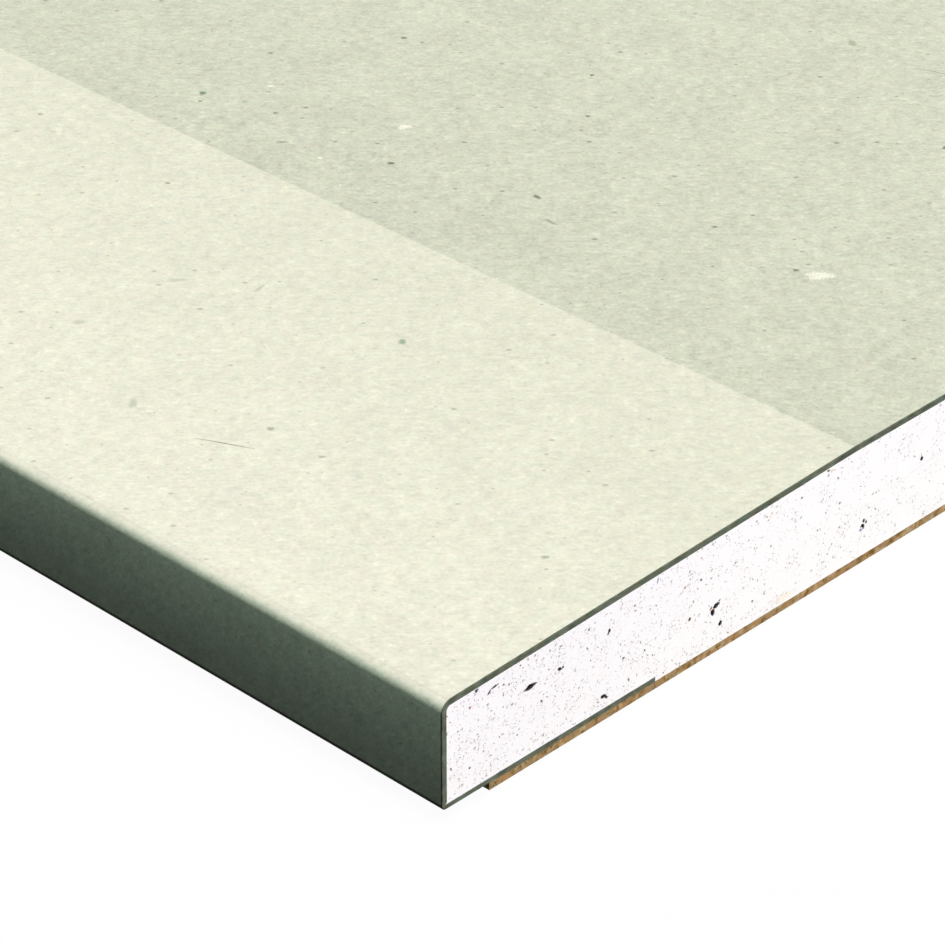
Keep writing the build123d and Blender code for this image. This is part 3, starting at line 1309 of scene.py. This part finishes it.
class DRYWALL_OT_face_flecks(bpy.types.Operator):
    """Make the dark and pale flecks bedded in the face paper"""

    bl_idname = "drywall.face_flecks"
    bl_label = "Face flecks"

    def execute(self, context):
        sizes, finish = context.scene.drywall_sizes, context.scene.drywall_face

        def paper_round_it(recipe, body):
            x, y, _ = body.split()
            return paper_colour(recipe, sizes, finish, recipe.joined(x, y), body)[0]

        material = mark_material("paper_flecks", paper_round_it)
        shape = lens_mesh("fleck_shape", 9, 0.004 * MM, 0.02 * MM)
        dark = (tint(112, 122, 110), tint(176, 182, 164))
        pale = (tint(238, 239, 220), tint(248, 247, 230))
        kinds = (
            ("dark_flecks", 0.75, (0.3, 1.1), dark, 3),
            ("pale_flecks", 0.25, (0.4, 2.0), pale, 5),
        )
        for name, share, lengths, colours, seed in kinds:
            mesh = scattered_marks(
                face_field(sizes, 2 * MM),
                shape.copy(),
                material,
                finish.fleck_density * share,
                lengths,
                0.35,
                colours,
                clear_corner(sizes, PLACED_MARKS_REACH),
                seed,
            )
            placed = []
            for inward, along, length, breadth, turn, colour in CORNER_FLECKS:
                if (colour == PALE_CREAM) == (name == "pale_flecks"):
                    size = (length * FLECK_FADE, breadth * FLECK_FADE)
                    place = laid(face_place(sizes, inward, along), math.radians(90 + turn), *size)
                    placed.append((shape, place, colour))
            piece = new_piece(name, with_placed(mesh, placed, material))
            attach(piece, "root")
        return {"FINISHED"}


class DRYWALL_OT_face_hairs(bpy.types.Operator):
    """Make the loose dark fibres that lie in the face paper"""

    bl_idname = "drywall.face_hairs"
    bl_label = "Face hairs"

    def execute(self, context):
        sizes, finish = context.scene.drywall_sizes, context.scene.drywall_face
        material = mark_material("paper_hairs")
        mesh = scattered_marks(
            face_field(sizes, 5 * MM),
            hair_mesh("hair_shape", 0.03, 0.12),
            material,
            finish.hair_density,
            (1.2, 4.5),
            0.5,
            (tint(150, 148, 132), tint(192, 192, 172)),
            clear_corner(sizes, PLACED_MARKS_REACH),
            9,
        )
        placed = []
        for start, end, bend, thickness, colour in CORNER_HAIRS:
            middle = face_place(sizes, (start[0] + end[0]) / 2, (start[1] + end[1]) / 2)
            length = math.dist(start, end)
            way = math.atan2(end[0] - start[0], start[1] - end[1])
            shape = hair_mesh("placed_hair", thickness / length, bend)
            placed.append((shape, laid(middle, way, length, length), colour))
        piece = new_piece("face_hairs", with_placed(mesh, placed, material))
        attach(piece, "root")
        return {"FINISHED"}


class DRYWALL_OT_core_grains(bpy.types.Operator):
    """Make the coloured grains set in the core's cut ends"""

    bl_idname = "drywall.core_grains"
    bl_label = "Core grains"

    def execute(self, context):
        sizes, finish = context.scene.drywall_sizes, context.scene.drywall_core

        def plaster_round_it(recipe, body):
            return plaster_colour(recipe, sizes, finish, body)[0]

        material = mark_material("core_grains", plaster_round_it)
        shape = lens_mesh("grain_shape", 8, 0.004 * MM, 0.02 * MM)
        mesh = scattered_marks(
            end_field(sizes, 0.8 * MM),
            shape.copy(),
            material,
            finish.grain_density,
            (0.2, 0.5),
            0.5,
            (tint(70, 64, 72), tint(176, 140, 120)),
            clear_end(sizes, PLACED_GRAINS_REACH),
            15,
        )
        placed = []
        for inward, up, length, height, tilt, colour in CORNER_GRAINS:
            size = (length * GRAIN_FADE, height * GRAIN_FADE)
            place = laid(end_place(sizes, inward, up), math.radians(tilt), *size)
            placed.append((shape, place, colour))
        piece = new_piece("core_grains", with_placed(mesh, placed, material))
        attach(piece, "root")
        return {"FINISHED"}


class DRYWALL_OT_stage(bpy.types.Operator):
    """Make the floor, lamps, sky and camera"""

    bl_idname = "drywall.stage"
    bl_label = "Stage"

    def execute(self, context):
        sizes, settings = context.scene.drywall_sizes, context.scene.drywall_stage
        self.floor(settings)
        self.sky(context, settings)
        self.lamps(context, settings)
        self.camera(context, sizes, settings)
        return {"FINISHED"}

    @staticmethod
    def seen_or_not(recipe, seen, unseen):
        """One shader for what is seen straight, in a gloss or through glass, and one for the rest."""
        path = recipe.add("ShaderNodeLightPath").outputs
        names = ("Is Camera Ray", "Is Glossy Ray", "Is Transmission Ray")
        straight, gloss, through = (Value(recipe, path[name]) for name in names)
        share = recipe.maths("ADD", straight + gloss, through, clamp=True)
        return recipe.value("ShaderNodeMixShader", {0: share, 1: unseen, 2: seen})

    def floor(self, settings):
        material, recipe = new_material("stage_floor")
        share = 1 - settings.floor_glow
        glow = recipe.value("ShaderNodeEmission", {"Strength": settings.floor_glow})
        lit = recipe.value("ShaderNodeBsdfDiffuse", {"Color": (share, share, share)})
        shown = recipe.value("ShaderNodeAddShader", {0: glow, 1: lit})
        dark = recipe.value("ShaderNodeBsdfDiffuse", {"Color": (0.0, 0.0, 0.0)})
        surface = self.seen_or_not(recipe, shown, dark)
        recipe.add("ShaderNodeOutputMaterial", {"Surface": surface})
        reach, drop = 60.0, -0.12 * MM
        signs = ((-1, -1), (1, -1), (1, 1), (-1, 1))
        mesh = bpy.data.meshes.new("stage_floor")
        mesh.from_pydata([(x * reach, y * reach, drop) for x, y in signs], [], [(0, 1, 2, 3)])
        mesh.materials.append(material)
        floor = new_piece("stage_floor", mesh)

    def sky(self, context, settings):
        world = bpy.data.worlds.new("stage_sky")
        recipe = emptied(world)
        soft = recipe.value("ShaderNodeBackground", {"Color": tuple(settings.sky)})
        plain = recipe.value("ShaderNodeBackground", {"Color": (1.0, 1.0, 1.0)})
        recipe.add("ShaderNodeOutputWorld", {"Surface": self.seen_or_not(recipe, plain, soft)})
        context.scene.world = world

    def lamps(self, context, settings):
        """Soft suns, each leaning a little towards +Y: name, height in degrees, way, and strength."""
        softness = math.radians(9)
        suns = (
            ("overhead", 86.5, (0.0, 1.0), 0.42),
            ("from_cut_end", 15.0, (1.0, 0.0164), 0.97),
            ("from_far_end", 15.0, (-1.0, 0.0164), 0.45),
            ("from_far_edge", 5.0, (0.0, 1.0), 0.35),
        )
        for name, height, way, strength in suns:
            rise = math.radians(height)
            flat = Vector((*way, 0.0)).normalized() * math.cos(rise)
            source = Vector((flat.x, flat.y, math.sin(rise)))
            lamp = bpy.data.lights.new(name, "SUN")
            lamp.energy = strength * math.pi
            lamp.angle = softness
            lamp.color = settings.lamp_colour
            holder = bpy.data.objects.new(name, lamp)
            holder.rotation_euler = source.to_track_quat("Z", "Y").to_euler()
            holder.location = source * 3
            context.scene.collection.objects.link(holder)

    def camera(self, context, sizes, settings):
        azimuth, elevation = math.radians(settings.azimuth), math.radians(settings.elevation)
        away = math.cos(elevation)
        back = Vector((math.sin(azimuth) * away, -math.cos(azimuth) * away, math.sin(elevation)))
        corner = Vector((sizes.length / 2, -sizes.width / 2, sizes.back_paper))
        camera = bpy.data.objects.new("camera", bpy.data.cameras.new("camera"))
        camera.data.lens = settings.lens
        camera.data.sensor_width = 36.0
        camera.data.clip_start = 0.01
        camera.data.clip_end = 200.0
        camera.location = corner + Vector(settings.stand)
        camera.rotation_euler = (-back).to_track_quat("-Z", "Y").to_euler()
        context.scene.collection.objects.link(camera)
        context.scene.camera = camera
        context.scene.view_settings.view_transform = "Standard"


PIECES = (
    DRYWALL_OT_face_paper,
    DRYWALL_OT_gypsum_core,
    DRYWALL_OT_back_paper,
    DRYWALL_OT_face_flecks,
    DRYWALL_OT_face_hairs,
    DRYWALL_OT_core_grains,
    DRYWALL_OT_stage,
)


class DRYWALL_PT_sheet(bpy.types.Panel):
    """Buttons and settings for the drywall sheet"""

    bl_label = "Drywall sheet"
    bl_idname = "DRYWALL_PT_sheet"
    bl_space_type = "VIEW_3D"
    bl_region_type = "UI"
    bl_category = "Sheet"

    def draw(self, context):
        for group in GROUPS:
            box = self.layout.box()
            values = getattr(context.scene, group)
            for name in type(values).__annotations__:
                box.prop(values, name)
        for operator in PIECES:
            self.layout.operator(operator.bl_idname)


GROUPS = {
    "drywall_sizes": SheetSizes,
    "drywall_face": FacePaperFinish,
    "drywall_core": CoreFinish,
    "drywall_back": BackPaperFinish,
    "drywall_stage": StageSettings,
}


def register():
    for kind in (*GROUPS.values(), *PIECES, DRYWALL_PT_sheet):
        bpy.utils.register_class(kind)
    for name, group in GROUPS.items():
        setattr(bpy.types.Scene, name, bpy.props.PointerProperty(type=group))


def unregister():
    for name in GROUPS:
        delattr(bpy.types.Scene, name)
    for kind in reversed((*GROUPS.values(), *PIECES, DRYWALL_PT_sheet)):
        bpy.utils.unregister_class(kind)


def main():
    register()
    bpy.ops.drywall.face_paper()
    bpy.ops.drywall.gypsum_core()
    bpy.ops.drywall.back_paper()
    bpy.ops.drywall.face_flecks()
    bpy.ops.drywall.face_hairs()
    bpy.ops.drywall.core_grains()
    bpy.ops.drywall.stage()


if __name__ == "__main__":
    main()
